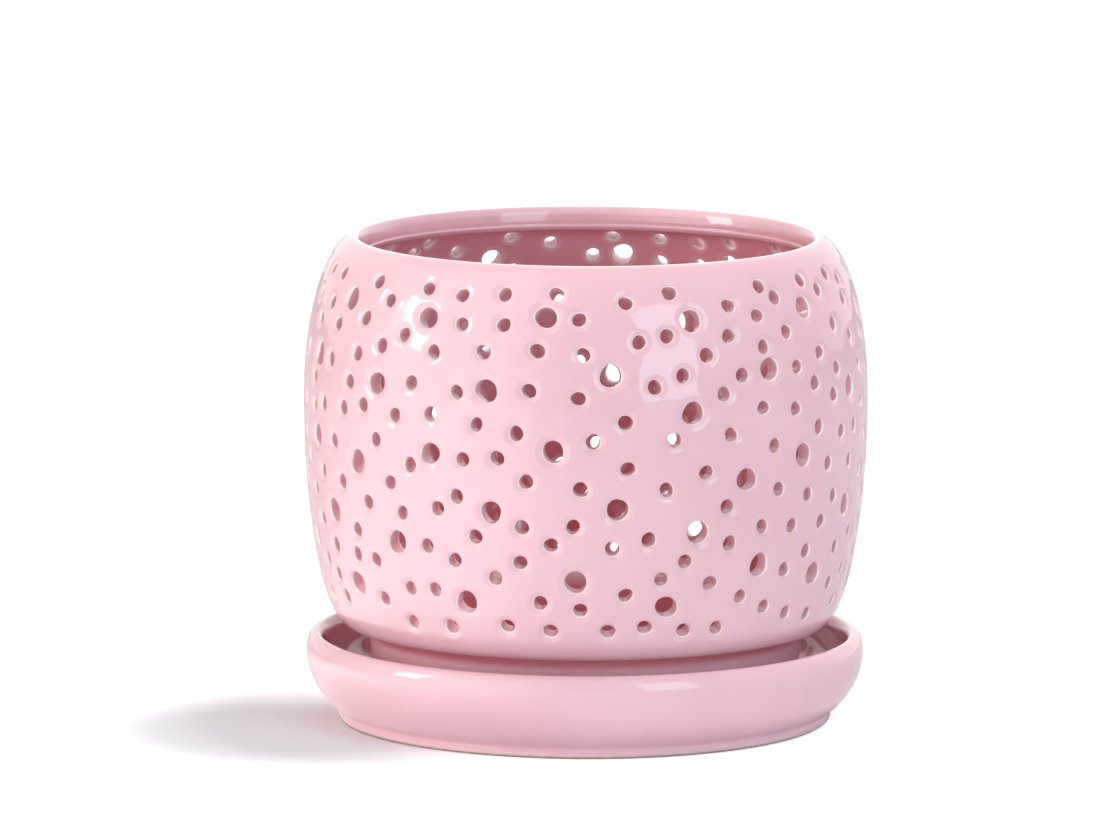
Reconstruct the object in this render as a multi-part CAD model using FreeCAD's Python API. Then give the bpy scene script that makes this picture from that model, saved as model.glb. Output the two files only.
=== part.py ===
import FreeCAD, Part

import math
import os

# Glazed stoneware orchid pot, pierced all round with air holes, standing loose in its own saucer.
# Millimetres. The origin is the centre of the saucer's underside, and +Z is up.

# Pot, heights from its own standing face
POT_WIDTH = 166.4
POT_HEIGHT = 135.4
WIDEST_HEIGHT = 88.0
UNDERSIDE_HEIGHT = 20.6
WALL = 5.4

# How far each turn of the pot's side comes in from the widest part
SHOULDER_REACH = 15.4
BELLY_REACH = 13.5

# Rolled lip, which stands inside the wall below it
LIP_ROLL = 1.8
LIP_DEPTH = 7.1
LEDGE_ROLL = 1.6

# Foot of the pot, a hollow ring under the belly
FOOT_STEP = 5.7
FOOT_TAPER = 1.2
FOOT_FILLET = 2.0
FOOT_ROLL = 1.4
FOOT_RING = 7.0
FOOT_RECESS = 2.6
POT_FLOOR = 5.6
FLOOR_EDGE_ROLL = 2.5
DRAIN_WIDTH = 14.0

# Air holes
LARGE_HOLE_WIDTH = 6.6
SMALL_HOLE_WIDTH = 4.2
LOWEST_HOLES_RISE = 8.9
HIGHEST_HOLES_DROP = 5.9
LARGE_HOLE_SIDES = 10
SMALL_HOLE_SIDES = 8

# Small roundings are made of this many short straight runs, which keeps the facets few
ROLL_RUNS = 3
RIM_RUNS = 5

# Saucer, heights from its own standing face
SAUCER_SETBACK = 0.8
SAUCER_HEIGHT = 25.8
SAUCER_WALL = 5.6
RIM_RISE = 4.8
RIM_CREST_INSET = 3.0
SAUCER_FLOOR_HEIGHT = 8.0
FLOOR_ROOM = 3.2
SAUCER_FOOT_INSET = 9.6
SAUCER_FOOT_HEIGHT = 3.4
SAUCER_FOOT_ROLL = 1.8
SAUCER_FOOT_RING = 9.0
SAUCER_RECESS = 1.6

# How far every cutter runs past the face it starts from
OVERRUN = 1.0

# The inner curve turns further in than the outer one, by this share of the wall
INNER_TURN_SHARE = 0.4
# A cutter reaches this many walls deep
CUTTER_DEPTH_SHARE = 2.0
# Weight of a curve's corner that makes the curve a quarter of an ellipse
QUARTER_SHARE = math.sqrt(0.5)

# Places of the air holes over the front half turn: degrees round from the middle of the front,
# and share of the height between the lowest and the highest row. The back half turn repeats them.
LARGE_HOLE_TURNS_AND_HEIGHT_SHARES = [
    (-60.5, 0.925), (-35.5, 0.905), (-8.5, 0.925), (22.5, 0.91), (53.5, 0.915), (83.0, 0.87),
    (-71.5, 0.745), (-47.5, 0.70), (-20.5, 0.71), (5.0, 0.76), (40.5, 0.755), (69.0, 0.66),
    (-71.5, 0.505), (-53.5, 0.46), (-33.0, 0.515), (-6.5, 0.54), (22.0, 0.645), (50.0, 0.49),
    (87.0, 0.555), (-64.0, 0.295), (-42.5, 0.24), (-19.5, 0.355), (6.5, 0.37), (34.5, 0.44),
    (68.5, 0.31), (86.0, 0.315), (-78.5, 0.185), (-57.5, 0.09), (-26.0, 0.08), (-2.0, 0.155),
    (23.5, 0.295), (39.0, 0.18), (57.0, 0.125), (17.5, 0.075), (79.5, 0.07),
]
SMALL_HOLE_TURNS_AND_HEIGHT_SHARES = [
    (-86.0, 0.985), (-77.0, 0.985), (-69.0, 0.985), (-52.5, 0.985), (-37.0, 0.985), (-28.0, 0.975),
    (-18.0, 0.985), (-6.5, 0.99), (8.5, 0.965), (18.5, 0.99), (32.0, 0.945), (41.5, 0.99),
    (55.5, 0.99), (67.5, 0.99), (84.0, 0.975), (-79.0, 0.91), (-69.5, 0.90), (-53.5, 0.88),
    (-47.0, 0.94), (-41.0, 0.85), (-27.0, 0.895), (-17.5, 0.90), (-1.5, 0.92), (11.0, 0.855),
    (17.0, 0.87), (31.0, 0.86), (39.0, 0.91), (45.0, 0.955), (61.0, 0.955), (73.5, 0.965),
    (72.5, 0.91), (-87.5, 0.89), (-86.0, 0.80), (-74.5, 0.845), (-64.0, 0.845), (-47.0, 0.81),
    (-54.5, 0.775), (-33.0, 0.81), (-21.5, 0.82), (-10.0, 0.83), (-0.5, 0.82), (25.5, 0.81),
    (39.5, 0.82), (46.5, 0.855), (56.5, 0.78), (64.0, 0.85), (72.0, 0.805), (80.5, 0.805),
    (-81.0, 0.75), (-65.0, 0.74), (-56.5, 0.69), (-38.0, 0.715), (-27.0, 0.70), (-11.5, 0.715),
    (-1.5, 0.695), (14.0, 0.725), (20.0, 0.755), (29.0, 0.695), (33.5, 0.745), (48.5, 0.75),
    (54.0, 0.695), (63.0, 0.725), (76.0, 0.715), (82.5, 0.70), (88.0, 0.745), (-86.5, 0.68),
    (-73.5, 0.675), (-67.5, 0.605), (-80.5, 0.60), (-73.0, 0.59), (-58.5, 0.61), (-51.5, 0.63),
    (-42.0, 0.615), (-33.0, 0.63), (-22.5, 0.61), (-14.0, 0.59), (1.5, 0.57), (8.0, 0.625),
    (18.0, 0.57), (30.5, 0.575), (38.5, 0.645), (47.5, 0.63), (55.0, 0.565), (61.0, 0.65),
    (77.0, 0.605), (-85.5, 0.59), (-81.5, 0.50), (-62.5, 0.505), (-47.5, 0.535), (-38.0, 0.475),
    (-25.5, 0.505), (-18.0, 0.515), (8.5, 0.49), (25.0, 0.47), (41.5, 0.53), (64.5, 0.535),
    (71.5, 0.54), (80.5, 0.50), (-85.5, 0.44), (-77.5, 0.435), (-68.5, 0.405), (-59.5, 0.39),
    (-43.5, 0.415), (-27.0, 0.395), (-12.0, 0.45), (-1.0, 0.43), (16.5, 0.425), (43.0, 0.40),
    (52.0, 0.37), (59.0, 0.45), (69.0, 0.44), (77.0, 0.40), (83.5, 0.43), (-82.0, 0.35),
    (-74.0, 0.34), (-50.5, 0.345), (-40.5, 0.33), (-31.5, 0.355), (-13.0, 0.315), (-2.5, 0.32),
    (13.0, 0.28), (30.0, 0.365), (39.0, 0.295), (47.5, 0.285), (57.5, 0.28), (62.0, 0.35),
    (80.0, 0.33), (-85.5, 0.27), (-71.0, 0.255), (-55.0, 0.255), (-34.5, 0.24), (-23.0, 0.28),
    (-7.0, 0.265), (5.5, 0.255), (31.0, 0.255), (53.0, 0.20), (73.0, 0.22), (80.5, 0.235),
    (87.5, 0.225), (-65.0, 0.19), (-56.0, 0.18), (-49.5, 0.175), (-28.0, 0.205), (-13.5, 0.21),
    (21.0, 0.21), (65.5, 0.19), (-85.0, 0.13), (-71.5, 0.135), (-66.5, 0.10), (-40.0, 0.105),
    (-33.5, 0.11), (-19.0, 0.16), (16.0, 0.16), (27.0, 0.14), (46.5, 0.155), (72.0, 0.11),
    (78.5, 0.15), (86.5, 0.14), (-81.5, 0.065), (-64.5, 0.035), (-48.5, 0.06), (-9.5, 0.09),
    (-1.0, 0.07), (8.5, 0.115), (35.0, 0.09), (42.0, 0.05), (65.5, 0.08), (-88.0, 0.04),
    (-74.0, 0.025), (-41.0, 0.0), (-30.5, 0.0), (-17.0, 0.015), (-7.5, 0.005), (5.0, 0.005),
    (13.0, 0.015), (22.0, 0.0), (30.0, 0.0), (49.5, 0.02), (58.0, 0.0), (71.0, 0.015),
    (84.0, 0.0),
]

# Radii that several outlines share
POT_RADIUS = POT_WIDTH / 2
CREST_RADIUS = POT_RADIUS - SHOULDER_REACH
TURN_RADIUS = POT_RADIUS - BELLY_REACH
FOOT_RADIUS = TURN_RADIUS - FOOT_STEP

UP = FreeCAD.Vector(0, 0, 1)
CENTRE = FreeCAD.Vector(0, 0, 0)


def at(radius, height):
    return FreeCAD.Vector(radius, 0, height)


def line(start, end):
    return Part.LineSegment(start, end).toShape()


def quarter(start, corner, end):
    """Quarter of an upright ellipse, which leaves start towards corner and reaches end from corner."""
    curve = Part.BezierCurve()
    curve.setPoles([start, corner, end])
    curve.setWeight(2, QUARTER_SHARE)
    return curve.toShape()


def rounded(start, corner, end, runs=ROLL_RUNS):
    """The same quarter in short straight runs."""
    centre = start + end - corner
    step = math.pi / 2 / runs
    points = [
        centre + (start - centre) * math.cos(k * step) + (end - centre) * math.sin(k * step)
        for k in range(runs + 1)
    ]
    return [line(here, there) for here, there in zip(points, points[1:])]


def swell_out(low, high):
    """Circular arc that climbs outwards from low and is upright when it reaches high."""
    reach = high.x - low.x
    rise = high.z - low.z
    radius = (reach**2 + rise**2) / (2 * reach)
    half_angle = math.atan2(rise, radius - reach) / 2
    middle = at(high.x - radius * (1 - math.cos(half_angle)), high.z - radius * math.sin(half_angle))
    return Part.Arc(low, middle, high).toShape()


def turned(outline):
    """Solid turned about Z from an outline that runs from the axis to the axis."""
    first = outline[0].Vertexes[0].Point
    last = outline[-1].Vertexes[-1].Point
    profile = Part.Wire(outline + [line(last, first)])
    return Part.Face(profile).revolve(CENTRE, UP, 360)


def pot_outside():
    foot_bottom = FOOT_RADIUS - FOOT_TAPER
    ring_inside = foot_bottom - FOOT_RING
    foot_top = UNDERSIDE_HEIGHT - FOOT_FILLET
    fillet_end = FOOT_RADIUS + FOOT_FILLET
    return [
        line(at(0, FOOT_RECESS), at(ring_inside, FOOT_RECESS)),
        line(at(ring_inside, FOOT_RECESS), at(ring_inside, 0)),
        line(at(ring_inside, 0), at(foot_bottom - FOOT_ROLL, 0)),
        *rounded(
            at(foot_bottom - FOOT_ROLL, 0),
            at(foot_bottom, 0),
            at(foot_bottom, FOOT_ROLL),
        ),
        line(at(foot_bottom, FOOT_ROLL), at(FOOT_RADIUS, foot_top)),
        *rounded(
            at(FOOT_RADIUS, foot_top),
            at(FOOT_RADIUS, UNDERSIDE_HEIGHT),
            at(fillet_end, UNDERSIDE_HEIGHT),
        ),
        line(at(fillet_end, UNDERSIDE_HEIGHT), at(TURN_RADIUS, UNDERSIDE_HEIGHT)),
        quarter(
            at(TURN_RADIUS, UNDERSIDE_HEIGHT),
            at(POT_RADIUS, UNDERSIDE_HEIGHT),
            at(POT_RADIUS, WIDEST_HEIGHT),
        ),
        quarter(
            at(POT_RADIUS, WIDEST_HEIGHT),
            at(POT_RADIUS, POT_HEIGHT),
            at(CREST_RADIUS, POT_HEIGHT),
        ),
    ]


def pot_inside():
    band = CREST_RADIUS - LIP_ROLL
    band_top = POT_HEIGHT - LIP_ROLL
    ledge = POT_HEIGHT - LIP_DEPTH
    ledge_start = band + LEDGE_ROLL
    inside = POT_RADIUS - WALL
    turn_height = UNDERSIDE_HEIGHT + WALL
    turn = TURN_RADIUS - WALL * INNER_TURN_SHARE
    well = FOOT_RADIUS - WALL
    floor = FOOT_RECESS + POT_FLOOR
    return [
        *rounded(at(CREST_RADIUS, POT_HEIGHT), at(band, POT_HEIGHT), at(band, band_top)),
        line(at(band, band_top), at(band, ledge + LEDGE_ROLL)),
        *rounded(at(band, ledge + LEDGE_ROLL), at(band, ledge), at(ledge_start, ledge)),
        quarter(at(ledge_start, ledge), at(inside, ledge), at(inside, WIDEST_HEIGHT)),
        quarter(at(inside, WIDEST_HEIGHT), at(inside, turn_height), at(turn, turn_height)),
        line(at(turn, turn_height), at(well + FLOOR_EDGE_ROLL, turn_height)),
        *rounded(
            at(well + FLOOR_EDGE_ROLL, turn_height),
            at(well, turn_height),
            at(well, turn_height - FLOOR_EDGE_ROLL),
        ),
        line(at(well, turn_height - FLOOR_EDGE_ROLL), at(well, floor)),
        line(at(well, floor), at(0, floor)),
    ]


def outer_wall_at(height):
    """Point on the pot's outer wall at this height, and the wall's outward direction there."""
    if height > WIDEST_HEIGHT:
        reach, rise = SHOULDER_REACH, POT_HEIGHT - WIDEST_HEIGHT
    else:
        reach, rise = BELLY_REACH, WIDEST_HEIGHT - UNDERSIDE_HEIGHT
    climb = (height - WIDEST_HEIGHT) / rise
    swing = math.sqrt(1 - climb**2)
    outward = at(swing / reach, climb / rise).normalize()
    return at(POT_RADIUS - reach * (1 - swing), height), outward


def air_hole(width, sides, turn, height_share):
    """Cutter square to the wall. It has flat sides and the area of the round hole."""
    lowest = UNDERSIDE_HEIGHT + LOWEST_HOLES_RISE
    highest = POT_HEIGHT - HIGHEST_HOLES_DROP
    point, outward = outer_wall_at(lowest + (highest - lowest) * height_share)
    step = 2 * math.pi / sides
    corner_radius = width / 2 * math.sqrt(step / math.sin(step))
    corners = [
        FreeCAD.Vector(corner_radius * math.cos(k * step), corner_radius * math.sin(k * step), 0)
        for k in range(sides + 1)
    ]
    cutter = Part.Face(Part.makePolygon(corners)).extrude(UP * (OVERRUN + WALL * CUTTER_DEPTH_SHARE))
    cutter.Placement = FreeCAD.Placement(
        point + outward * OVERRUN,
        FreeCAD.Rotation(UP, outward * -1),
    )
    cutter.rotate(CENTRE, UP, turn)
    return cutter


def air_holes():
    kinds = [
        (LARGE_HOLE_WIDTH, LARGE_HOLE_SIDES, LARGE_HOLE_TURNS_AND_HEIGHT_SHARES),
        (SMALL_HOLE_WIDTH, SMALL_HOLE_SIDES, SMALL_HOLE_TURNS_AND_HEIGHT_SHARES),
    ]
    cutters = []
    for width, sides, places in kinds:
        for turn, height_share in places:
            # The outlines lie on +X and the front is -Y, a quarter turn back.
            for half_turn in (-90, 90):
                cutters.append(air_hole(width, sides, turn + half_turn, height_share))
    return cutters


def pot():
    # Spline surfaces keep the pierced wall's facets few.
    body = turned(pot_outside() + pot_inside()).toNurbs()
    drain = Part.makeCylinder(DRAIN_WIDTH / 2, POT_FLOOR + OVERRUN * 2, at(0, FOOT_RECESS - OVERRUN))
    pierced = body.cut(air_holes() + [drain]).Solids[0]
    pierced.translate(at(0, SAUCER_FLOOR_HEIGHT))
    return pierced


def saucer():
    widest = POT_RADIUS - SAUCER_SETBACK
    swell = SAUCER_HEIGHT - RIM_RISE
    crest = widest - RIM_CREST_INSET
    inside = widest - SAUCER_WALL
    floor_edge = FOOT_RADIUS - FOOT_TAPER + FLOOR_ROOM
    foot = widest - SAUCER_FOOT_INSET
    ring_inside = foot - SAUCER_FOOT_RING
    return turned([
        line(at(0, SAUCER_RECESS), at(ring_inside, SAUCER_RECESS)),
        line(at(ring_inside, SAUCER_RECESS), at(ring_inside, 0)),
        line(at(ring_inside, 0), at(foot - SAUCER_FOOT_ROLL, 0)),
        *rounded(at(foot - SAUCER_FOOT_ROLL, 0), at(foot, 0), at(foot, SAUCER_FOOT_ROLL)),
        line(at(foot, SAUCER_FOOT_ROLL), at(foot, SAUCER_FOOT_HEIGHT)),
        swell_out(at(foot, SAUCER_FOOT_HEIGHT), at(widest, swell)),
        *rounded(at(widest, swell), at(widest, SAUCER_HEIGHT), at(crest, SAUCER_HEIGHT), RIM_RUNS),
        *rounded(at(crest, SAUCER_HEIGHT), at(inside, SAUCER_HEIGHT), at(inside, swell), RIM_RUNS),
        swell_out(at(floor_edge, SAUCER_FLOOR_HEIGHT), at(inside, swell)),
        line(at(floor_edge, SAUCER_FLOOR_HEIGHT), at(0, SAUCER_FLOOR_HEIGHT)),
    ])


def main():
    os.makedirs("parts", exist_ok=True)
    for name, shape in {"saucer": saucer(), "pot": pot()}.items():
        shape.exportStep("parts/" + name + ".step")
        print(name, "valid", shape.isValid(), "solids", len(shape.Solids), "volume", round(shape.Volume))


main()
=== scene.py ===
import math

import bpy
import numpy as np
from mathutils import Matrix, Vector, geometry


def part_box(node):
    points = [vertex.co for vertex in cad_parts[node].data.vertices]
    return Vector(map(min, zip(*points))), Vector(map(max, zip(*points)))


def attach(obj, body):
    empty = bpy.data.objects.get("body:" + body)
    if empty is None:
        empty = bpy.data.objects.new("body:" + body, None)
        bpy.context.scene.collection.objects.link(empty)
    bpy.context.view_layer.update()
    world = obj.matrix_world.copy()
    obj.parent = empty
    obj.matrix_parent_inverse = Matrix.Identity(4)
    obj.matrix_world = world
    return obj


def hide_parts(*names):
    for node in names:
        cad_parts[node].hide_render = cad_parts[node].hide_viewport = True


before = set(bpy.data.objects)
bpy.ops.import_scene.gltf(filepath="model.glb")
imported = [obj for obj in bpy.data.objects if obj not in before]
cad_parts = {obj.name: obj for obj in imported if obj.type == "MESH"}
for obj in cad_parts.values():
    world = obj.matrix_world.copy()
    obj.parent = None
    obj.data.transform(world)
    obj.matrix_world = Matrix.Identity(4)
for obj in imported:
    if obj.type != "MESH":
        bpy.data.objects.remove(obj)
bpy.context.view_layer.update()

# Glazed orchid pot, pierced all round, standing loose in its saucer. Metres, in the frame's axes.
# The pot and the saucer replace their plain solids with finer meshes of the same outlines,
# and the air holes are read from the pot's solid.

MM = 0.001

# Outlines, each size as in the part
POT_LOW, POT_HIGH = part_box("pot")
SAUCER_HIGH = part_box("saucer")[1]
POT_RADIUS = POT_HIGH.x
TOP = POT_HIGH.z
BASE = POT_LOW.z
WIDEST = BASE + 88.0 * MM
UNDERSIDE = BASE + 20.6 * MM
WALL = 5.4 * MM
SHOULDER_REACH = 15.4 * MM
BELLY_REACH = 13.5 * MM
LIP_ROLL = 1.8 * MM
LIP_DEPTH = 7.1 * MM
LEDGE_ROLL = 1.6 * MM
FOOT_STEP = 5.7 * MM
FOOT_TAPER = 1.2 * MM
FOOT_FILLET = 2.0 * MM
FOOT_ROLL = 1.4 * MM
FOOT_RING = 7.0 * MM
FOOT_RECESS = 2.6 * MM
POT_FLOOR = 5.6 * MM
FLOOR_EDGE_ROLL = 2.5 * MM
DRAIN_RADIUS = 7.0 * MM
INNER_TURN_SHARE = 0.4

SAUCER_RADIUS = SAUCER_HIGH.x
SAUCER_TOP = SAUCER_HIGH.z
SAUCER_WALL = 5.6 * MM
RIM_RISE = 4.8 * MM
RIM_CREST_INSET = 3.0 * MM
SAUCER_FLOOR = BASE
FLOOR_ROOM = 3.2 * MM
SAUCER_FOOT_INSET = 9.6 * MM
SAUCER_FOOT_HEIGHT = 3.4 * MM
SAUCER_FOOT_ROLL = 1.8 * MM
SAUCER_FOOT_RING = 9.0 * MM
SAUCER_RECESS = 1.6 * MM

CREST = POT_RADIUS - SHOULDER_REACH
TURN = POT_RADIUS - BELLY_REACH
FOOT = TURN - FOOT_STEP
INSIDE = POT_RADIUS - WALL
BAND = CREST - LIP_ROLL
LEDGE = TOP - LIP_DEPTH
LEDGE_START = BAND + LEDGE_ROLL
INNER_TURN = TURN - WALL * INNER_TURN_SHARE
INNER_UNDERSIDE = UNDERSIDE + WALL
WELL = FOOT - WALL
WELL_FLOOR = BASE + FOOT_RECESS + POT_FLOOR

# Small rolls that the glaze gives to corners, and how far above the foot's roll it ends
POT_SOFT = 0.8 * MM
WELL_CORNER = 2.4 * MM
GLAZE_THINS = 1.2 * MM
GLAZE_EDGE = 0.7 * MM
CLAY_STARTS = 0.6 * MM
SAUCER_SOFT = 0.7 * MM
SAUCER_GROOVE = 0.7 * MM
# Rows of the saucer's rim, counted back from its inner end, and how strong their cream line is:
# thinner glaze and partly a painted highlight
CREST_THIN = ((-13, 0.5), (-12, 1.0), (-11, 0.6))

# Meshing
COLUMNS = 256
LARGE_SEGMENTS = 28
SMALL_SEGMENTS = 20
FILL_SPACING = 2.6 * MM
FILL_ROW_SHARE = 0.87
FILL_CLEARANCE = 0.9 * MM
BAND_MARGIN = 4.6 * MM
RING_OVERLAP = 0.02 * MM
WALL_SAMPLES = 6001
PLAN_TOLERANCE = 1e-7
ON_AXIS = 0.01 * MM

# Reading the air holes. In the solid they have flat sides, whose corners lie a little outside
# the round hole.
WELD_PER_MM = 200
CROSSING_LIMIT = 0.55
STEEPEST = 0.999
LEDGE_CLEARANCE = 0.5 * MM
LEAST_FACES = 12
CORNER_SHARE = 1.045
LEAST_HOLE = 1.5 * MM
MOST_HOLE = 4.5 * MM
LARGE_HOLE_LIMIT = 2.7 * MM

# Edge of an air hole: the glaze sinks in a shallow cone and rolls over into the bore.
DIP_BREADTH = 2.0 * MM
SMALL_DIP_SHARE = 0.86
DIP_DEPTH_START = 0.32 * MM
DIP_DEPTH_SHARE = 0.44
DIP_SLOPE = math.radians(13)
DIP_ROLL_SHARE = 0.42
LEAST_DIP = 0.28 * MM
NEIGHBOUR_ROOM = 1.0 * MM
NEIGHBOUR_SHARE = 0.97
LEAST_FACING = 0.08
CONE_PLACES = (0.08, 0.5, 1.0)
# Degrees round the roll, and how strong the cream line is there: thinner glaze, partly a painted
# highlight
ROLL_PLACES = ((28, 0.0), (42, 0.25), (55, 0.9), (68, 1.0), (80, 1.0), (90, 0.3))
# Round the inner edge the cream line paints the lit crescent at the bore's inner end, a painted
# highlight.
INNER_ROLL_PLACES = ((90, 0.9), (55, 1.0), (25, 0.2), (0, 0.0))
INNER_DEPTH_SHARE = 0.2
INNER_SPREAD = 0.45
# Rings inside the bore: their distances from its ends, and how much deep rose they get, pooled
# glaze and painted shade in the bore
BORE_START = 0.5 * MM
BORE_END = 0.6 * MM
BORE_POOL_AND_SHADE = 0.15
BORE_END_POOL_AND_SHADE = 0.1

# Each bore is a little out of round, as glazed holes are.
SEED = 7
OVAL = (0.01, 0.085)
LOBED = (0.0, 0.045)
GROWTH = (-0.05, 0.03)
MOST_GROWTH = 0.3

# Inside, painted shade: the inner web is drawn in deeper rose towards the bottom.
INNER_SHADE_HEIGHTS = (INNER_UNDERSIDE, LEDGE - 25 * MM)
INNER_SHADE_SHARES = (1.0, 0.5)


# Outline helpers. A row is (radius, height, and three marks): where the glaze thins over an
# edge, drawn cream and partly a painted highlight; where it gathers in a corner or lies in the
# pot's inside, drawn deep rose and partly painted shade; and where the clay is bare.
def row(r, z, thin=0.0, pool=0.0, bare=0.0):
    return (r, z, thin, pool, bare)


def ellipse(r, z, a, b, start, end, steps, **marks):
    """Rows round the centre (r, z) with half widths a and b, between two angles in degrees."""
    rows = []
    for k in range(steps + 1):
        t = math.radians(start + (end - start) * k / steps)
        rows.append(row(r + a * math.cos(t), z + b * math.sin(t), **marks))
    return rows


def straight(start, end, steps, **marks):
    """Rows between two points, without the points themselves."""
    rows = []
    for k in range(1, steps):
        s = k / steps
        r, z = (a + (b - a) * s for a, b in zip(start, end))
        rows.append(row(r, z, **marks))
    return rows


class Build:
    """Gathers vertices, faces and per-vertex marks of one mesh."""

    def __init__(self):
        self.parts = []
        self.marks = []
        self.normals = []
        self.faces = []
        self.count = 0

    def add(self, points, marks, normals=None):
        first = self.count
        self.parts.append(np.asarray(points, float))
        self.marks.append(np.asarray(marks, float))
        if normals is None:
            normals = np.zeros((len(points), 3))
        self.normals.append(np.asarray(normals, float))
        self.count += len(points)
        return first + np.arange(len(points))

    def strip(self, lower, upper):
        """Quads between two rings of vertices. Their normals point right of lower to upper."""
        n = len(lower)
        for k in range(n):
            m = (k + 1) % n
            self.faces.append((int(lower[k]), int(lower[m]), int(upper[m]), int(upper[k])))

    def mesh(self, name):
        points = np.concatenate(self.parts)
        marks = np.concatenate(self.marks)
        given = np.concatenate(self.normals)
        data = bpy.data.meshes.new(name)
        data.from_pydata(points.tolist(), [], self.faces)
        data.validate()
        data.update()
        data.polygons.foreach_set("use_smooth", [True] * len(data.polygons))
        for index, kind in enumerate(("thin", "pool", "bare")):
            layer = data.attributes.new(kind, "FLOAT", "POINT")
            layer.data.foreach_set("value", marks[:, index].astype(np.float32))
        own = np.empty(len(data.vertices) * 3, np.float32)
        data.vertex_normals.foreach_get("vector", own)
        own = own.reshape(-1, 3)
        # A direction given with a vertex takes the place of the mesh's own.
        known = np.linalg.norm(given, axis=1) > 0.5
        own[known] = given[known]
        data.normals_split_custom_set_from_vertices(own.tolist())
        piece = bpy.data.objects.new(name, data)
        bpy.context.scene.collection.objects.link(piece)
        return piece


TURNS = np.arange(COLUMNS) * 2 * math.pi / COLUMNS


def ring_points(r, z):
    return np.stack([r * np.cos(TURNS), r * np.sin(TURNS), np.full(COLUMNS, z)], 1)


def lathe(build, rows, first=None, last=None):
    """Turns an outline about Z, joined to rings that exist already where they are given."""
    rings = [] if first is None else [first]
    for r, z, thin, pool, bare in rows:
        if r < ON_AXIS:
            rings.append(build.add([[0, 0, z]], [[thin, pool, bare]]))
        else:
            marks = np.tile([thin, pool, bare], (COLUMNS, 1))
            rings.append(build.add(ring_points(r, z), marks))
    if last is not None:
        rings.append(last)
    for lower, upper in zip(rings, rings[1:]):
        if len(lower) > 1 and len(upper) > 1:
            build.strip(lower, upper)
            continue
        for k in range(COLUMNS):
            m = (k + 1) % COLUMNS
            if len(lower) == 1:
                build.faces.append((int(lower[0]), int(upper[m]), int(upper[k])))
            else:
                build.faces.append((int(lower[k]), int(lower[m]), int(upper[0])))


# The pierced wall, laid out by s, the length along the outside from the underside to the crest
def wall_tables():
    """By s, the outer surface's radius, height, direction and place in the flat plan, and the
    wall's thickness."""
    angles = np.linspace(-math.pi / 2, math.pi / 2, WALL_SAMPLES)
    reach = np.where(angles > 0, SHOULDER_REACH, BELLY_REACH)
    rise = np.where(angles > 0, TOP - WIDEST, WIDEST - UNDERSIDE)
    r = POT_RADIUS - reach * (1 - np.cos(angles))
    z = WIDEST + rise * np.sin(angles)
    normal = np.stack([np.cos(angles) / reach, np.sin(angles) / rise], 1)
    normal /= np.linalg.norm(normal, axis=1)[:, None]
    s = np.concatenate([[0], np.cumsum(np.hypot(np.diff(r), np.diff(z)))])
    turn = np.concatenate([[0], np.cumsum(np.diff(s) * 2 / (r[1:] + r[:-1]))])
    # The wall's thickness along the outer normal: a ray against the two inner ellipses
    thick = np.full(len(s), np.nan)
    for upper in (True, False):
        c = LEDGE_START if upper else INNER_TURN
        a = INSIDE - c
        b = (LEDGE - WIDEST) if upper else (WIDEST - INNER_UNDERSIDE)
        qa = (normal[:, 0] / a) ** 2 + (normal[:, 1] / b) ** 2
        qb = -2 * ((r - c) * normal[:, 0] / a**2 + (z - WIDEST) * normal[:, 1] / b**2)
        qc = ((r - c) / a) ** 2 + ((z - WIDEST) / b) ** 2 - 1
        root = (-qb - np.sqrt(np.maximum(qb**2 - 4 * qa * qc, 0))) / (2 * qa)
        end = z - normal[:, 1] * root
        right = (end >= WIDEST) if upper else (end < WIDEST)
        thick = np.where(right & np.isnan(thick), root, thick)
    return {"s": s, "r": r, "z": z, "nr": normal[:, 0], "nz": normal[:, 1],
            "turn": turn, "thick": thick}


WALLS = wall_tables()


def on_wall(s, column):
    return np.interp(s, WALLS["s"], WALLS[column])


def wall_points(s, angle, depth):
    """Points at a depth under the outer surface, and the outward direction there."""
    nr, nz = on_wall(s, "nr"), on_wall(s, "nz")
    r = on_wall(s, "r") - nr * depth
    z = on_wall(s, "z") - nz * depth
    points = np.stack([r * np.cos(angle), r * np.sin(angle), z], 1)
    normals = np.stack([nr * np.cos(angle), nr * np.sin(angle), nz], 1)
    return points, normals


def inner_normals(points):
    """Directions of the inner surface at these points, towards the inside."""
    r = np.hypot(points[:, 0], points[:, 1])
    upper = points[:, 2] > WIDEST
    c = np.where(upper, LEDGE_START, INNER_TURN)
    a = INSIDE - c
    b = np.where(upper, LEDGE - WIDEST, WIDEST - INNER_UNDERSIDE)
    nr = (r - c) / a**2
    nz = (points[:, 2] - WIDEST) / b**2
    length = np.hypot(nr, nz)
    across = nr / length / r
    return -np.stack([across * points[:, 0], across * points[:, 1], nz / length], 1)


def solid_triangles():
    """Welded points, triangles, their middles, directions and areas of the pot's solid."""
    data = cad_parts["pot"].data
    data.calc_loop_triangles()
    co = np.empty(len(data.vertices) * 3, np.float32)
    data.vertices.foreach_get("co", co)
    co = co.reshape(-1, 3).astype(float)
    tri = np.empty(len(data.loop_triangles) * 3, np.int32)
    data.loop_triangles.foreach_get("vertices", tri)
    cells = np.round(co / MM * WELD_PER_MM).astype(np.int64)
    cells, index = np.unique(cells, axis=0, return_inverse=True)
    index = index.ravel()
    points = np.zeros((len(cells), 3))
    points[index] = co
    tri = index[tri].reshape(-1, 3)
    a, b, c = (points[tri[:, k]] for k in range(3))
    normal = np.cross(b - a, c - a)
    area = np.linalg.norm(normal, axis=1)
    normal /= np.maximum(area, 1e-20)[:, None]
    return points, tri, (a + b + c) / 3, normal, area


def joined_labels(count, tri):
    """One label for all points that these triangles join."""
    label = np.arange(count)
    while True:
        least = label[tri].min(1)
        before = label.copy()
        np.minimum.at(label, tri.ravel(), np.repeat(least, 3))
        if (before == label).all():
            return label


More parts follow.
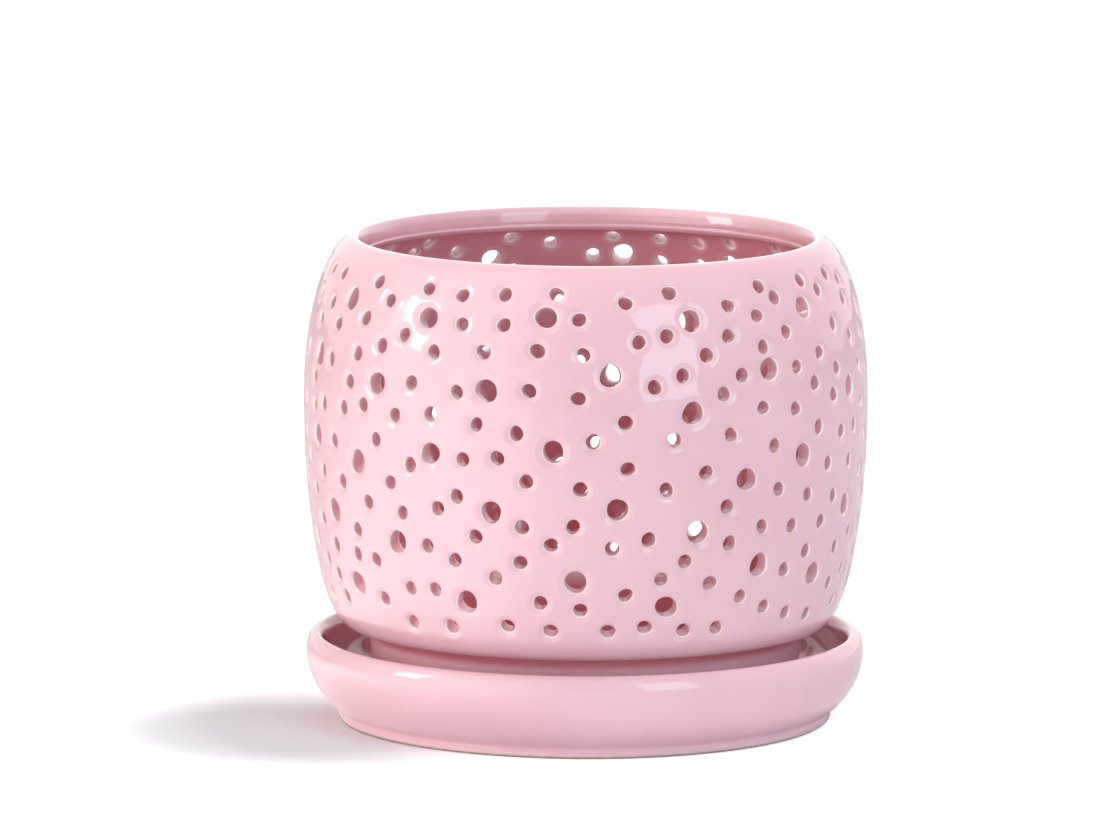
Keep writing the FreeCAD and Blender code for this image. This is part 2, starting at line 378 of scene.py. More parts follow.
def read_holes():
    """s, angle and radius of every air hole, from the faces of the solid that cross the wall."""
    points, tri, middle, normal, area = solid_triangles()
    r = np.hypot(middle[:, 0], middle[:, 1])
    above = middle[:, 2] > WIDEST
    rise = np.where(above, TOP - WIDEST, WIDEST - UNDERSIDE)
    reach = np.where(above, SHOULDER_REACH, BELLY_REACH)
    climb = np.clip((middle[:, 2] - WIDEST) / rise, -STEEPEST, STEEPEST)
    nr, nz = np.sqrt(1 - climb**2) / reach, climb / rise
    length = np.hypot(nr, nz)
    nr, nz = nr / length, nz / length
    facing = (normal[:, 0] * middle[:, 0] + normal[:, 1] * middle[:, 1]) * nr / r
    facing += normal[:, 2] * nz
    crossing = (np.abs(facing) < CROSSING_LIMIT) & (area > 0)
    crossing &= (middle[:, 2] > INNER_UNDERSIDE) & (middle[:, 2] < TOP - LIP_ROLL)
    crossing &= r > LEDGE_START + LEDGE_CLEARANCE
    tri, area, middle = tri[crossing], area[crossing], middle[crossing]
    label = joined_labels(len(points), tri)
    holes = []
    for name in np.unique(label[tri[:, 0]]):
        mine = label[tri[:, 0]] == name
        if mine.sum() < LEAST_FACES:
            continue
        corners = points[np.unique(tri[mine])]
        centre = (middle[mine] * area[mine, None]).sum(0) / area[mine].sum()
        angle = math.atan2(centre[1], centre[0])
        r = math.hypot(centre[0], centre[1])
        k = int(np.argmin((WALLS["r"] - r) ** 2 + (WALLS["z"] - centre[2]) ** 2))
        nr, nz = WALLS["nr"][k], WALLS["nz"][k]
        axis = np.array([nr * math.cos(angle), nr * math.sin(angle), nz])
        out = corners - centre
        out -= np.outer(out @ axis, axis)
        radius = np.linalg.norm(out, axis=1).max() / CORNER_SHARE
        if LEAST_HOLE < radius < MOST_HOLE:
            holes.append((float(WALLS["s"][k]), angle, float(radius)))
    holes.sort()
    return np.array(holes)


HOLES = read_holes()
print("air holes read from the pot's solid:", len(HOLES))


def dip_breadth(index):
    """Directions round one hole and its dip's breadth there, kept clear of its neighbours."""
    s, angle, radius = HOLES[index]
    large = radius > LARGE_HOLE_LIMIT
    n = LARGE_SEGMENTS if large else SMALL_SEGMENTS
    phi = np.arange(n) * 2 * math.pi / n
    turn = (HOLES[:, 1] - angle + math.pi) % (2 * math.pi) - math.pi
    ds, dv = HOLES[:, 0] - s, turn * on_wall(s, "r")
    gap = np.hypot(ds, dv)
    near = gap < radius + HOLES[:, 2] + 2 * DIP_BREADTH + NEIGHBOUR_ROOM
    near[index] = False
    breadth = np.full(n, DIP_BREADTH * (1.0 if large else SMALL_DIP_SHARE))
    for other in np.nonzero(near)[0]:
        face = np.cos(phi - math.atan2(dv[other], ds[other]))
        half = (gap[other] ** 2 + radius**2 - HOLES[other, 2] ** 2) / (2 * gap[other])
        room = half * NEIGHBOUR_SHARE / np.maximum(face, LEAST_FACING) - radius
        breadth = np.where(face > LEAST_FACING, np.minimum(breadth, room), breadth)
    return phi, np.maximum(breadth, LEAST_DIP)


def uneven_rings():
    """Directions, bore radius and dip breadth of every hole, with its bore out of round."""
    rng = np.random.RandomState(SEED)
    rings = []
    for index, radius in enumerate(HOLES[:, 2]):
        phi, breadth = dip_breadth(index)
        lean, _, three = rng.uniform(0, 2 * math.pi, 3)
        oval, lobed, growth = rng.uniform(*OVAL), rng.uniform(*LOBED), rng.uniform(*GROWTH)
        shape = 1 + growth + oval * np.cos(2 * (phi - lean)) + lobed * np.cos(3 * (phi - three))
        bore = np.minimum(radius * shape, radius + breadth * MOST_GROWTH)
        rings.append((phi, bore, radius + breadth - bore))
    return rings


RINGS = uneven_rings()


def inside_hole(s, angle, extra):
    """True where a point lies within a hole's outer ring and this much more."""
    inside = np.zeros(len(s), bool)
    for (hole_s, hole_angle, radius), (phi, bore, breadth) in zip(HOLES, RINGS):
        turn = (angle - hole_angle + math.pi) % (2 * math.pi) - math.pi
        ds, dv = s - hole_s, turn * on_wall(hole_s, "r")
        near = np.nonzero(np.abs(ds) < radius + DIP_BREADTH + extra)[0]
        near = near[np.hypot(ds[near], dv[near]) < radius + DIP_BREADTH + extra]
        if len(near) == 0:
            continue
        rho = bore + breadth
        direction = np.arctan2(dv[near], ds[near]) % (2 * math.pi)
        limit = np.interp(direction, np.append(phi, 2 * math.pi), np.append(rho, rho[0]))
        inside[near[np.hypot(ds[near], dv[near]) < limit + extra]] = True
    return inside


def ring_place(index, spread):
    """s and angle of one hole's ring. spread is 0 at the bore and 1 at the dip's edge."""
    s, angle, _ = HOLES[index]
    phi, bore, breadth = RINGS[index]
    rho = bore + breadth * spread
    place = s + rho * np.cos(phi)
    return place, angle + rho * np.sin(phi) / on_wall(place, "r")


def web_plan(s_low, s_high):
    """Points of the web round the holes by s and angle, its triangles, and its rings' points."""
    plan_s, plan_angle, edges = [], [], []

    def put(s, angle):
        first = sum(len(x) for x in plan_s)
        plan_s.append(np.asarray(s, float))
        plan_angle.append(np.asarray(angle, float))
        ids = first + np.arange(len(s))
        edges.extend(zip(ids.tolist(), np.roll(ids, -1).tolist()))
        return ids

    low_ring = put(np.full(COLUMNS, s_low), TURNS)
    high_ring = put(np.full(COLUMNS, s_high), TURNS)
    ring_ids = [put(*ring_place(index, 1.0)) for index in range(len(HOLES))]
    rows = int((s_high - s_low) / (FILL_SPACING * FILL_ROW_SHARE))
    count = int(2 * math.pi * POT_RADIUS / FILL_SPACING)
    fill_s, fill_angle = [], []
    for k in range(1, rows):
        shift = 0.5 * (k % 2)
        fill_s.append(np.full(count, s_low + (s_high - s_low) * k / rows))
        fill_angle.append((np.arange(count) + shift) * 2 * math.pi / count)
    fill_s, fill_angle = np.concatenate(fill_s), np.concatenate(fill_angle)
    free = ~inside_hole(fill_s, fill_angle, FILL_CLEARANCE)
    plan_s.append(fill_s[free])
    plan_angle.append(fill_angle[free])
    s, angle = np.concatenate(plan_s), np.concatenate(plan_angle)
    spread = np.exp(on_wall(s, "turn"))
    flat = np.stack([spread * np.cos(angle), spread * np.sin(angle)], 1)
    made = geometry.delaunay_2d_cdt([Vector(p) for p in flat.tolist()], edges, [], 0,
                                    PLAN_TOLERANCE)
    source = [ids[0] if ids else -1 for ids in made[3]]
    tris = np.array([[source[v] for v in face] for face in made[2] if len(face) == 3])
    tris = tris[(tris >= 0).all(1)]
    # The middle of each triangle says whether it lies in the band and clear of the holes.
    flat = flat.astype(np.float32).astype(float)
    centre = flat[tris].mean(1)
    distance = np.hypot(centre[:, 0], centre[:, 1])
    centre_s = np.interp(np.log(distance), WALLS["turn"], WALLS["s"])
    centre_angle = np.arctan2(centre[:, 1], centre[:, 0])
    keep = (centre_s > s_low) & ~inside_hole(centre_s, centre_angle, -RING_OVERLAP)
    ring_of = np.full(len(s), -1)
    for index, ids in enumerate(ring_ids):
        ring_of[ids] = index
    same = (ring_of[tris] >= 0).all(1) & (ring_of[tris] == ring_of[tris[:, :1]]).all(1)
    low_only = (tris < COLUMNS).all(1)
    high_only = ((tris >= COLUMNS) & (tris < 2 * COLUMNS)).all(1)
    tris = tris[keep & ~same & ~low_only & ~high_only]
    # In the plan, s grows outwards from the middle, so seen from above it shows the wall's inside.
    ab = flat[tris[:, 1]] - flat[tris[:, 0]]
    ac = flat[tris[:, 2]] - flat[tris[:, 0]]
    turned = ab[:, 0] * ac[:, 1] - ab[:, 1] * ac[:, 0] > 0
    tris[turned] = tris[turned][:, [0, 2, 1]]
    return s, angle, tris, low_ring, high_ring, ring_ids


def hole_edge(build, index, outer_ring, inner_ring):
    """Sunk edge, bore and inner edge of one hole, between its rings in the two webs."""
    phi, _, breadth = RINGS[index]
    last = outer_ring

    def add_ring(spread, down, thin=0.0, pool=0.0):
        nonlocal last
        points, _ = wall_points(*ring_place(index, spread), down)
        ring = build.add(points, np.tile([thin, pool, 0], (len(phi), 1)))
        build.strip(ring, last)
        last = ring

    depth = DIP_DEPTH_START + DIP_DEPTH_SHARE * breadth
    sink = breadth * (1 - DIP_ROLL_SHARE) * math.tan(DIP_SLOPE)
    start, fall = math.sin(DIP_SLOPE), math.cos(DIP_SLOPE)
    for x in CONE_PLACES:
        add_ring(1 - (1 - DIP_ROLL_SHARE) * x, sink * x)
    for degrees, thin in ROLL_PLACES:
        t = math.radians(degrees)
        spread = DIP_ROLL_SHARE * (1 - math.sin(t)) / (1 - start)
        add_ring(spread, sink + (depth - sink) * (fall - math.cos(t)) / fall, thin)
    thick = on_wall(ring_place(index, 0.0)[0], "thick")
    inner_depth = DIP_DEPTH_START + INNER_DEPTH_SHARE * breadth
    add_ring(0.0, depth + BORE_START)
    # Deeper rose inside the bore: pooled glaze and painted shade
    add_ring(0.0, (depth + thick - inner_depth) / 2, pool=BORE_POOL_AND_SHADE)
    add_ring(0.0, thick - inner_depth - BORE_END, pool=BORE_END_POOL_AND_SHADE)
    for degrees, thin in INNER_ROLL_PLACES:
        t = math.radians(degrees)
        spread = INNER_SPREAD * (1 - math.sin(t))
        thick = on_wall(ring_place(index, spread)[0], "thick")
        add_ring(spread, thick - inner_depth * (1 - math.cos(t)), thin)
    build.strip(inner_ring, last)


def pierced_wall(build):
    """Outer and inner webs with every hole between them. Returns where and what its ends are."""
    s_low = HOLES[:, 0].min() - BAND_MARGIN
    s_high = HOLES[:, 0].max() + BAND_MARGIN
    s, angle, tris, low_ring, high_ring, ring_ids = web_plan(s_low, s_high)
    outer_points, outer_normals = wall_points(s, angle, np.zeros(len(s)))
    outer = build.add(outer_points, np.zeros((len(s), 3)), outer_normals)
    inner_points, _ = wall_points(s, angle, on_wall(s, "thick"))
    # Painted shade on the inner web, deeper towards the bottom
    inner_shade = np.interp(inner_points[:, 2], INNER_SHADE_HEIGHTS, INNER_SHADE_SHARES)
    marks = np.stack([0 * inner_shade, inner_shade, 0 * inner_shade], 1)
    inner = build.add(inner_points, marks, inner_normals(inner_points))
    for a, b, c in tris:
        build.faces.append((int(outer[a]), int(outer[b]), int(outer[c])))
        build.faces.append((int(inner[a]), int(inner[c]), int(inner[b])))
    for index, ids in enumerate(ring_ids):
        hole_edge(build, index, outer[ids], inner[ids])
    return s_low, s_high, outer[low_ring], outer[high_ring], inner[low_ring], inner[high_ring]


def outer_angle(s):
    """Degrees round the outer ellipse at this length."""
    z = on_wall(s, "z")
    rise = (TOP - WIDEST) if z > WIDEST else (WIDEST - UNDERSIDE)
    return math.degrees(math.asin((z - WIDEST) / rise))


def inner_angle(s):
    """Degrees round the inner ellipse behind this length."""
    z = on_wall(s, "z") - on_wall(s, "nz") * on_wall(s, "thick")
    rise = (LEDGE - WIDEST) if z > WIDEST else (WIDEST - INNER_UNDERSIDE)
    return math.degrees(math.asin(max(-1, min(1, (z - WIDEST) / rise))))


def lip_rows(s_high):
    """From the top of the outer web over the crest, down the lip band and round the ledge."""
    rows = ellipse(CREST, WIDEST, SHOULDER_REACH, TOP - WIDEST, outer_angle(s_high), 90, 20)[1:]
    # The crest's last rows and the lip's top carry a cream line: thinner glaze and a painted
    # highlight.
    rows = rows[:-4] + [row(r, z, thin=1.0) for r, z, *_ in rows[-4:]]
    lip_drop = LIP_DEPTH - LEDGE_ROLL
    lip = (CREST, TOP - lip_drop, LIP_ROLL, lip_drop)
    rows += ellipse(*lip, 92, 98, 3, thin=1.0)
    rows += ellipse(*lip, 102, 138, 6)
    # Deep rose on the band's lower roll: partly pooled glaze, partly painted shade
    rows += ellipse(*lip, 144, 180, 6, pool=0.35)
    ledge = (LEDGE_START, LEDGE + LEDGE_ROLL, LEDGE_ROLL, LEDGE_ROLL)
    rows += ellipse(*ledge, 180, 228, 4)
    # Cream on the ledge's edge, partly a painted highlight; then painted shade under the ledge and
    # on the inside wall below it, drawn as deep rose
    rows += ellipse(*ledge, 238, 258, 3, thin=0.9)
    rows += ellipse(*ledge, 262, 270, 1, pool=0.7)
    inside = (LEDGE_START, WIDEST, INSIDE - LEDGE_START, LEDGE - WIDEST)
    return rows + ellipse(*inside, 90, inner_angle(s_high), 10, pool=0.5)[1:-1]


def base_rows(s_low):
    """From the foot of the outer web round the foot, the drain and the well to the inner web."""
    foot_low = FOOT - FOOT_TAPER
    belly = (TURN, WIDEST, BELLY_REACH, WIDEST - UNDERSIDE)
    rows = ellipse(*belly, outer_angle(s_low), -90, 16)[1:]
    # Deep rose under the belly and in the fillet onto the foot: pooled glaze, and painted shade
    # where the belly overhangs
    rows += straight((TURN, UNDERSIDE), (FOOT + FOOT_FILLET, UNDERSIDE), 3, pool=0.4)
    rows += [row(FOOT + FOOT_FILLET, UNDERSIDE, pool=0.8)]
    fillet = (FOOT + FOOT_FILLET, UNDERSIDE - FOOT_FILLET, FOOT_FILLET, FOOT_FILLET)
    rows += ellipse(*fillet, 90, 180, 6, pool=1.0)[1:]
    glaze_low = BASE + FOOT_ROLL
    rows += straight((FOOT, UNDERSIDE - FOOT_FILLET), (foot_low, glaze_low + GLAZE_THINS), 6)
    rows += [row(foot_low, glaze_low + GLAZE_THINS, thin=0.6)]
    rows += [row(foot_low, glaze_low + GLAZE_EDGE, thin=1.0)]
    rows += [row(foot_low, glaze_low + CLAY_STARTS, bare=1.0)]
    rows += ellipse(foot_low - FOOT_ROLL, glaze_low, FOOT_ROLL, FOOT_ROLL, 0, -90, 6, bare=1.0)
    ring_inside = foot_low - FOOT_RING
    soft = POT_SOFT
    rows += [row(ring_inside + soft * 2.2, BASE, bare=1.0)]
    rows += ellipse(ring_inside + soft, BASE + soft, soft, soft, 270, 180, 4, bare=1.0)
    recess = BASE + FOOT_RECESS
    rows += ellipse(ring_inside - soft, recess - soft, soft, soft, 0, 90, 4, pool=0.6)
    rows += straight((ring_inside - soft, recess), (DRAIN_RADIUS + 2 * soft, recess), 8)
    rows += [row(DRAIN_RADIUS + 2 * soft, recess)]
    rows += ellipse(DRAIN_RADIUS + soft, recess + soft, soft, soft, 270, 180, 5, thin=1.0)
    rows += ellipse(DRAIN_RADIUS + soft, WELL_FLOOR - soft, soft, soft, 180, 90, 5, thin=1.0)
    drain_edge = DRAIN_RADIUS + 2.2 * soft
    corner = WELL_CORNER
    rows += [row(drain_edge, WELL_FLOOR)]
    # Deep rose in the well and on the inside: pooled glaze in the corners and painted shade on the
    # inside
    rows += straight((drain_edge, WELL_FLOOR), (WELL - corner, WELL_FLOOR), 8, pool=0.35)
    rows += ellipse(WELL - corner, WELL_FLOOR + corner, corner, corner, 270, 360, 6, pool=1.0)
    roll = FLOOR_EDGE_ROLL
    well_top = INNER_UNDERSIDE - roll
    rows += straight((WELL, WELL_FLOOR + corner), (WELL, well_top), 3, pool=0.6)
    rows += ellipse(WELL + roll, well_top, roll, roll, 180, 90, 6, thin=0.7)
    rows += straight((WELL + roll, INNER_UNDERSIDE), (INNER_TURN, INNER_UNDERSIDE), 3, pool=0.9)
    inside = (INNER_TURN, WIDEST, INSIDE - INNER_TURN, WIDEST - INNER_UNDERSIDE)
    return rows + ellipse(*inside, -90, inner_angle(s_low), 14, pool=1.0)[:-1]


def make_pot():
    build = Build()
    s_low, s_high, outer_low, outer_high, inner_low, inner_high = pierced_wall(build)
    lathe(build, lip_rows(s_high), first=outer_high, last=inner_high)
    lathe(build, base_rows(s_low)[::-1], first=inner_low, last=outer_low)
    return build.mesh("pierced_pot")


def swell(low, high, steps):
    """Circular arc that climbs outwards from low and is upright when it reaches high."""
    reach, rise = high[0] - low[0], high[1] - low[1]
    radius = (reach**2 + rise**2) / (2 * reach)
    span = math.degrees(math.atan2(rise, radius - reach))
    return ellipse(high[0] - radius, high[1], radius, radius, -span, 0, steps)


def make_saucer():
    build = Build()
    foot = SAUCER_RADIUS - SAUCER_FOOT_INSET
    ring_inside = foot - SAUCER_FOOT_RING
    crest = SAUCER_RADIUS - RIM_CREST_INSET
    inside = SAUCER_RADIUS - SAUCER_WALL
    swell_top = SAUCER_TOP - RIM_RISE
    floor_edge = FOOT - FOOT_TAPER + FLOOR_ROOM
    soft = SAUCER_SOFT
    roll = SAUCER_FOOT_ROLL
    rows = [row(0, SAUCER_RECESS)]
    rows += straight((0, SAUCER_RECESS), (ring_inside - soft, SAUCER_RECESS), 10)
    rows += ellipse(ring_inside - soft, SAUCER_RECESS - soft, soft, soft, 90, 0, 4, pool=0.6)
    rows += ellipse(ring_inside + soft, soft, soft, soft, 180, 270, 4, bare=1.0)
    rows += ellipse(foot - roll, roll, roll, roll, -90, -38, 6, bare=1.0)
    # A faint cream line over the foot's roll: thinner glaze, partly a painted highlight
    rows += ellipse(foot - roll, roll, roll, roll, -33, 0, 5, thin=0.45)
    # Deep rose in the groove above the foot, at the bowl's start and in the floor's corner: pooled
    # glaze, partly painted shade
    rows += [row(foot, SAUCER_FOOT_HEIGHT - 2 * SAUCER_GROOVE)]
    rows += [row(foot, SAUCER_FOOT_HEIGHT - SAUCER_GROOVE)]
    rows += [row(foot, SAUCER_FOOT_HEIGHT - 0.2 * SAUCER_GROOVE, pool=0.15)]
    bowl = swell((foot, SAUCER_FOOT_HEIGHT), (SAUCER_RADIUS, swell_top), 26)
    rows += [row(bowl[1][0], bowl[1][1], pool=0.1)] + bowl[2:]
    rows += ellipse(crest, swell_top, SAUCER_RADIUS - crest, RIM_RISE, 0, 90, 12)[1:]
    rows += ellipse(crest, swell_top, crest - inside, RIM_RISE, 90, 180, 12)[1:]
    for k, thin in CREST_THIN:
        rows[k] = row(rows[k][0], rows[k][1], thin=thin)
    rows += swell((floor_edge, SAUCER_FLOOR), (inside, swell_top), 22)[-2:0:-1]
    rows += [row(floor_edge, SAUCER_FLOOR, pool=0.8)]
    rows += straight((floor_edge, SAUCER_FLOOR), (0, SAUCER_FLOOR), 14)
    rows += [row(0, SAUCER_FLOOR)]
    lathe(build, rows)
    return build.mesh("saucer_dish")


# Node helpers. Each value is a number, a colour, a vector or another node's socket.
def feed(tree, value, socket):
    if isinstance(value, bpy.types.NodeSocket):
        tree.links.new(value, socket)
    else:
        socket.default_value = value


def calculate(tree, operation, *values):
    node = tree.nodes.new("ShaderNodeMath")
    node.operation = operation
    for value, socket in zip(values, node.inputs):
        feed(tree, value, socket)
    return node.outputs[0]


def measure(tree, operation, output, *values):
    node = tree.nodes.new("ShaderNodeVectorMath")
    node.operation = operation
    for value, socket in zip(values, node.inputs):
        feed(tree, value, socket)
    return node.outputs[output]


def ramp(tree, value, low, high, out_low=0.0, out_high=1.0):
    """Rises smoothly from out_low to out_high as the value goes from low to high."""
    node = tree.nodes.new("ShaderNodeMapRange")
    node.interpolation_type = "SMOOTHSTEP"
    node.inputs["From Min"].default_value = low
    node.inputs["From Max"].default_value = high
    node.inputs["To Min"].default_value = out_low
    node.inputs["To Max"].default_value = out_high
    feed(tree, value, node.inputs["Value"])
    return node.outputs["Result"]


def mix_numbers(tree, factor, a, b):
    node = tree.nodes.new("ShaderNodeMix")
    node.data_type = "FLOAT"
    for value, index in ((factor, 0), (a, 2), (b, 3)):
        feed(tree, value, node.inputs[index])
    return node.outputs[0]


def mix_colours(tree, factor, a, b):
    node = tree.nodes.new("ShaderNodeMix")
    node.data_type = "RGBA"
    for value, index in ((factor, 0), (a, 6), (b, 7)):
        feed(tree, value, node.inputs[index])
    return node.outputs[2]


def noise(tree, place, scale, detail=2.0):
    node = tree.nodes.new("ShaderNodeTexNoise")
    node.inputs["Scale"].default_value = scale
    node.inputs["Detail"].default_value = detail
    feed(tree, place, node.inputs["Vector"])
    return node.outputs["Fac"]


def bump(tree, height, distance, strength):
    node = tree.nodes.new("ShaderNodeBump")
    node.inputs["Distance"].default_value = distance
    node.inputs["Strength"].default_value = strength
    feed(tree, height, node.inputs["Height"])
    return node


def mark(tree, name):
    """A per-vertex mark of the mesh: thinned glaze with painted highlight, pooled glaze with
    painted shade, or bare clay.
    """
    node = tree.nodes.new("ShaderNodeAttribute")
    node.attribute_type = "GEOMETRY"
    node.attribute_name = name
    return node.outputs["Fac"]


# Glaze
PINK = (0.785, 0.445, 0.508, 1.0)
PINK_LIGHT = (0.805, 0.470, 0.533, 1.0)
# Deep rose: pooled glaze, and painted shade in corners, in the bores and on the inside
PINK_DEEP = (0.620, 0.120, 0.160, 1.0)
# Cream of the thinned edges, kept near white as a painted highlight where the edges catch the
# light
CREAM = (0.930, 0.860, 0.800, 1.0)
CLAY = (0.400, 0.300, 0.235, 1.0)
CLAY_PALE = (0.56, 0.45, 0.37, 1.0)
POOL_AND_SHADE_SHARE = 0.7
GLAZE_ROUGHNESS = (0.045, 0.075)
GLAZE_IOR = 1.5
CLAY_ROUGHNESS = 0.85
# Noise scales, in features per metre
CLOUD_SCALE = 22.0
SHEEN_SCALE = 60.0
WAVE_SCALE = 72.0
RAGGED_SCALE = 160.0
FINE_SCALE = 340.0
BREAK_SCALE = 420.0
GRAIN_SCALE = 900.0
WAVE_HEIGHT = 0.8 * MM
WAVE_STRENGTH = 0.6
FINE_HEIGHT = 0.05 * MM
FINE_STRENGTH = 0.25


def glaze(name):
    """Pink glaze, cream on thinned edges, partly a painted highlight, and deep rose where it
    pools, partly painted shade, that stops at bare clay.
    """
    material = bpy.data.materials.new(name)
    material.use_nodes = True
    tree = material.node_tree
    shader = tree.nodes["Principled BSDF"]
    place = tree.nodes.new("ShaderNodeTexCoord").outputs["Object"]
    cloud = ramp(tree, noise(tree, place, CLOUD_SCALE, 3.0), 0.35, 0.65)
    colour = mix_colours(tree, cloud, PINK, PINK_LIGHT)
    # Deep rose where the glaze pools, which also paints shade in corners, bores and the inside
    pooled = ramp(tree, mark(tree, "pool"), 0.0, 1.0, 0.0, POOL_AND_SHADE_SHARE)
    colour = mix_colours(tree, pooled, colour, PINK_DEEP)
    # Cream on thinned edges, which also paints their highlights
    broken = ramp(tree, noise(tree, place, BREAK_SCALE), 0.25, 0.6, 0.55, 1.0)
    thin = calculate(tree, "MULTIPLY", ramp(tree, mark(tree, "thin"), 0.25, 1.0), broken)
    colour = mix_colours(tree, thin, colour, CREAM)
    grain = ramp(tree, noise(tree, place, GRAIN_SCALE, 3.0), 0.3, 0.7)
    clay = mix_colours(tree, grain, CLAY, CLAY_PALE)
    ragged = ramp(tree, noise(tree, place, RAGGED_SCALE), 0.3, 0.7, -0.25, 0.25)
    bare = ramp(tree, calculate(tree, "ADD", mark(tree, "bare"), ragged), 0.42, 0.58)
    feed(tree, mix_colours(tree, bare, colour, clay), shader.inputs["Base Color"])
    sheen = ramp(tree, noise(tree, place, SHEEN_SCALE), 0.3, 0.7, *GLAZE_ROUGHNESS)
    feed(tree, mix_numbers(tree, bare, sheen, CLAY_ROUGHNESS), shader.inputs["Roughness"])
    shader.inputs["IOR"].default_value = GLAZE_IOR
    wave = bump(tree, noise(tree, place, WAVE_SCALE, 1.0), WAVE_HEIGHT, WAVE_STRENGTH)
    fine = bump(tree, noise(tree, place, FINE_SCALE, 1.0), FINE_HEIGHT, FINE_STRENGTH)
    feed(tree, wave.outputs["Normal"], fine.inputs["Normal"])
    feed(tree, fine.outputs["Normal"], shader.inputs["Normal"])
    return material


pot = make_pot()
saucer = make_saucer()
pot.data.materials.append(glaze("pot_pink_glaze"))
saucer.data.materials.append(glaze("saucer_pink_glaze"))
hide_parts("pot")
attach(pot, "pot")
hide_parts("saucer")
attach(saucer, "saucer")


# Floor. It glows white to the camera, and less near the shadow's place, so that the shadow shows.
FLOOR_HALF = 7.0
FLOOR_COLOUR = (0.835, 0.840, 0.870, 1.0)
SHADOW_PLACE = Vector((-0.090, -0.029, 0))
GLOW_START = 0.030
GLOW_FULL = 0.090
GLOW = 0.60
# The studio's bright left side, seen only in the glaze. On the floor it rises from none to full
# between the last two distances.
VEIL = 2.75
VEIL_X = (-0.8, 0.0)
VEIL_Y = (-0.2, 0.75)
VEIL_NEAR = 0.05
VEIL_FAR = 0.165
# World: plain light from above and around, and what the glaze mirrors around and behind
AMBIENT_LOW = 0.29
AMBIENT_HIGH = 0.62
AMBIENT_RISE = 0.9
SURROUND = 0.6
BACKDROP = 0.7
BACKDROP_Y = (0.2, 0.8)


def veil(tree, direction):
    """Extra brightness of the studio's left side in the glaze, by direction from the pot."""
    split = tree.nodes.new("ShaderNodeSeparateXYZ")
    feed(tree, direction, split.inputs[0])
    mirrored = tree.nodes.new("ShaderNodeLightPath").outputs["Is Glossy Ray"]
    leftward = ramp(tree, split.outputs[0], *VEIL_X, VEIL, 0.0)
    forward = ramp(tree, split.outputs[1], *VEIL_Y, 1.0, 0.0)
    return calculate(tree, "MULTIPLY", calculate(tree, "MULTIPLY", mirrored, leftward), forward)


def make_floor():
    data = bpy.data.meshes.new("floor")
    half = FLOOR_HALF
    corners = [(-half, -half, 0), (half, -half, 0), (half, half, 0), (-half, half, 0)]
    data.from_pydata(corners, [], [(0, 1, 2, 3)])
    floor = bpy.data.objects.new("floor", data)
    bpy.context.scene.collection.objects.link(floor)
    material = bpy.data.materials.new("floor_white")
    material.use_nodes = True
    tree = material.node_tree
    tree.nodes.remove(tree.nodes["Principled BSDF"])
    place = tree.nodes.new("ShaderNodeTexCoord").outputs["Object"]
    path = tree.nodes.new("ShaderNodeLightPath")
    seen = calculate(tree, "MAXIMUM", path.outputs["Is Camera Ray"],
                     path.outputs["Is Transmission Ray"])
    away = measure(tree, "DISTANCE", "Value", place, SHADOW_PLACE)
    shown = calculate(tree, "MULTIPLY", seen, ramp(tree, away, GLOW_START, GLOW_FULL, 0.0, GLOW))
    outward = measure(tree, "NORMALIZE", "Vector", place)
    reach = ramp(tree, measure(tree, "LENGTH", "Value", place), VEIL_NEAR, VEIL_FAR)
    mirrored = calculate(tree, "MULTIPLY", veil(tree, outward), reach)
    glow = tree.nodes.new("ShaderNodeEmission")
    feed(tree, calculate(tree, "ADD", shown, mirrored), glow.inputs["Strength"])
    diffuse = tree.nodes.new("ShaderNodeBsdfDiffuse")
    diffuse.inputs["Color"].default_value = FLOOR_COLOUR
    both = tree.nodes.new("ShaderNodeAddShader")
    feed(tree, diffuse.outputs[0], both.inputs[0])
    feed(tree, glow.outputs[0], both.inputs[1])
    feed(tree, both.outputs[0], tree.nodes["Material Output"].inputs["Surface"])
    data.materials.append(material)


def make_world():
    world = bpy.data.worlds.new("studio")
    bpy.context.scene.world = world
    world.use_nodes = True
    tree = world.node_tree
    background = tree.nodes["Background"]
    background.inputs["Color"].default_value = (1, 1, 1, 1)
    place = tree.nodes.new("ShaderNodeTexCoord").outputs["Generated"]
    split = tree.nodes.new("ShaderNodeSeparateXYZ")
    feed(tree, place, split.inputs[0])
    path = tree.nodes.new("ShaderNodeLightPath")
    mirrored = path.outputs["Is Glossy Ray"]
    level = ramp(tree, split.outputs[2], 0.0, AMBIENT_RISE, AMBIENT_LOW, AMBIENT_HIGH)
    level = mix_numbers(tree, mirrored, level, SURROUND)
    for kind in ("Is Camera Ray", "Is Transmission Ray"):
        level = mix_numbers(tree, path.outputs[kind], level, 1.0)
    behind = ramp(tree, split.outputs[1], *BACKDROP_Y, 0.0, BACKDROP)
    extra = calculate(tree, "MULTIPLY_ADD", behind, mirrored, veil(tree, place))
    feed(tree, calculate(tree, "ADD", level, extra), background.inputs["Strength"])


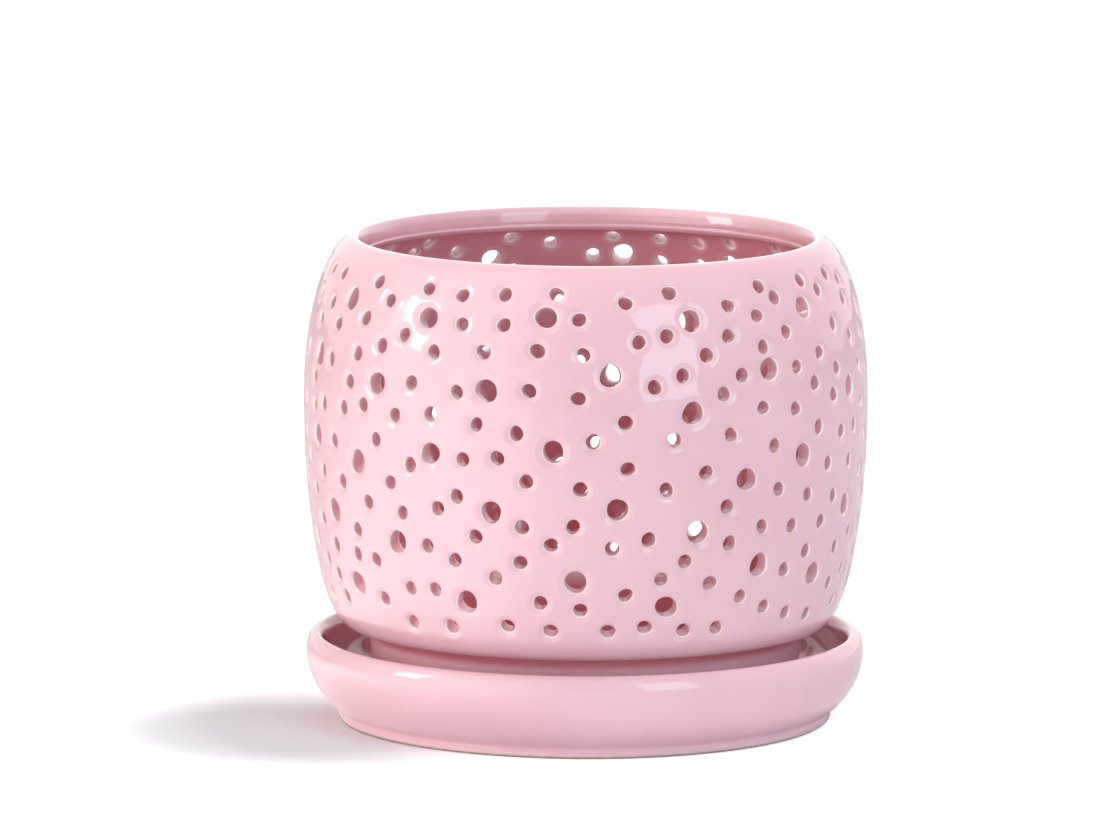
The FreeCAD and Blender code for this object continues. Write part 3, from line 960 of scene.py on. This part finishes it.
# Softboxes: degrees to the right of the front, degrees up, distance, width, height, watts,
# colour, and whether the glaze mirrors them
WHITE = (1.0, 1.0, 1.0)
LAMPS = {
    "key_left": (-62, 23, 1.8, 0.8, 0.6, 3.6, (0.95, 1.0, 0.55), False),
    "spot_left": (-77, 18.5, 1.5, 0.42, 0.52, 5.2, WHITE, True),
    "window_right": (34, 17, 2.0, 0.9, 1.3, 13.1, (0.58, 0.92, 1.0), True),
    "fill_front": (-16, 7, 1.8, 0.8, 0.24, 5.0, WHITE, False),
    "low_left": (-58, 4, 1.8, 0.8, 0.20, 2.2, WHITE, False),
    "shadow_right": (102, 72, 1.6, 0.40, 0.40, 11.0, WHITE, False),
}
LAMP_AIM = Vector((0, 0, 0.07))


def make_lamp(name, azimuth, elevation, distance, width, height, power, colour, mirrored):
    data = bpy.data.lights.new(name, "AREA")
    data.shape = "RECTANGLE"
    data.size = width
    data.size_y = height
    data.energy = power
    data.color = colour
    piece = bpy.data.objects.new(name, data)
    a, e = math.radians(azimuth), math.radians(elevation)
    offset = Vector((math.sin(a) * math.cos(e), -math.cos(a) * math.cos(e), math.sin(e)))
    piece.location = LAMP_AIM + offset * distance
    piece.rotation_euler = offset.to_track_quat("Z", "Y").to_euler()
    piece.visible_camera = False
    piece.visible_glossy = mirrored
    bpy.context.scene.collection.objects.link(piece)


make_floor()
make_world()
for lamp_name, lamp_sizes in LAMPS.items():
    make_lamp(lamp_name, *lamp_sizes)

# Camera: the photograph's, fitted to the circles of rim, saucer and foot
CAMERA_AWAY = 3.0
CAMERA_RISE = 0.155
CAMERA_ROLL = 0.003
LENS = 333.2
SENSOR = 36.0
CLIP_END = 60.0
TARGET = Vector((0, 0, 0.070))
AIM = Vector((-0.01085, 0.00319, 0.0904))
camera_data = bpy.data.cameras.new("camera")
camera_data.lens = LENS
camera_data.sensor_width = SENSOR
camera_data.sensor_fit = "HORIZONTAL"
camera_data.clip_end = CLIP_END
camera = bpy.data.objects.new("camera", camera_data)
toward_camera = Vector((0, -math.cos(CAMERA_RISE), math.sin(CAMERA_RISE)))
camera.location = TARGET + toward_camera * CAMERA_AWAY
look = (AIM - camera.location).to_track_quat("-Z", "Y").to_matrix()
camera.rotation_euler = (look @ Matrix.Rotation(CAMERA_ROLL, 3, "Z")).to_euler()
bpy.context.scene.collection.objects.link(camera)
bpy.context.scene.camera = camera

bpy.context.scene.view_settings.view_transform = "Standard"
